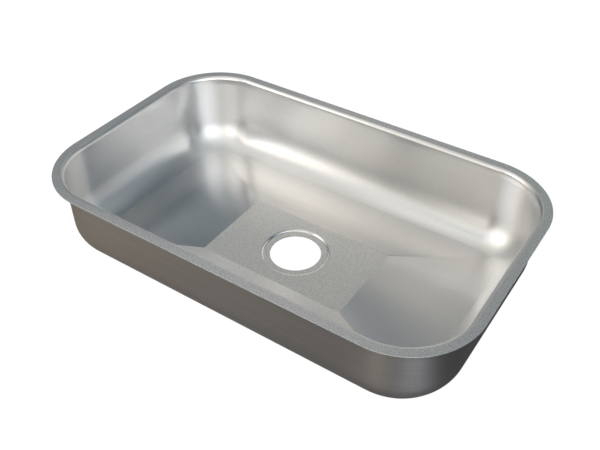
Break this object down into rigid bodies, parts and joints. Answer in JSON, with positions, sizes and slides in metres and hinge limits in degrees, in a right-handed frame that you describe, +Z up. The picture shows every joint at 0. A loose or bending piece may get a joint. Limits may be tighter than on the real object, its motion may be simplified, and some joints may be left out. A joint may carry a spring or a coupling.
{
  "type": "undermount kitchen sink",
  "caption": "Undermount stainless sink: one drawn rectangular bowl with rounded corners, flat fixing flange, creased floor and central drain hole.",
  "frame": {"origin": "on the standing surface, straight below the middle of the drain hole, at the centre of the overall length and width", "axes": "+X along the long side to the right, +Y towards the rear wall, +Z up through the open top"},
  "size_m": [0.756, 0.474, 0.1536],
  "materials": {
    "stainless": "satin brushed walls, bead-blasted flange and panel",
    "damping_rubber": "matt moulded rubber with a fine grain"
  },
  "bodies": {
    "root": {"bowl": "stainless", "sound_pad_front": "damping_rubber", "sound_pad_rear": "damping_rubber", "sound_pad_left": "damping_rubber", "sound_pad_right": "damping_rubber"}
  },
  "joints": []
}
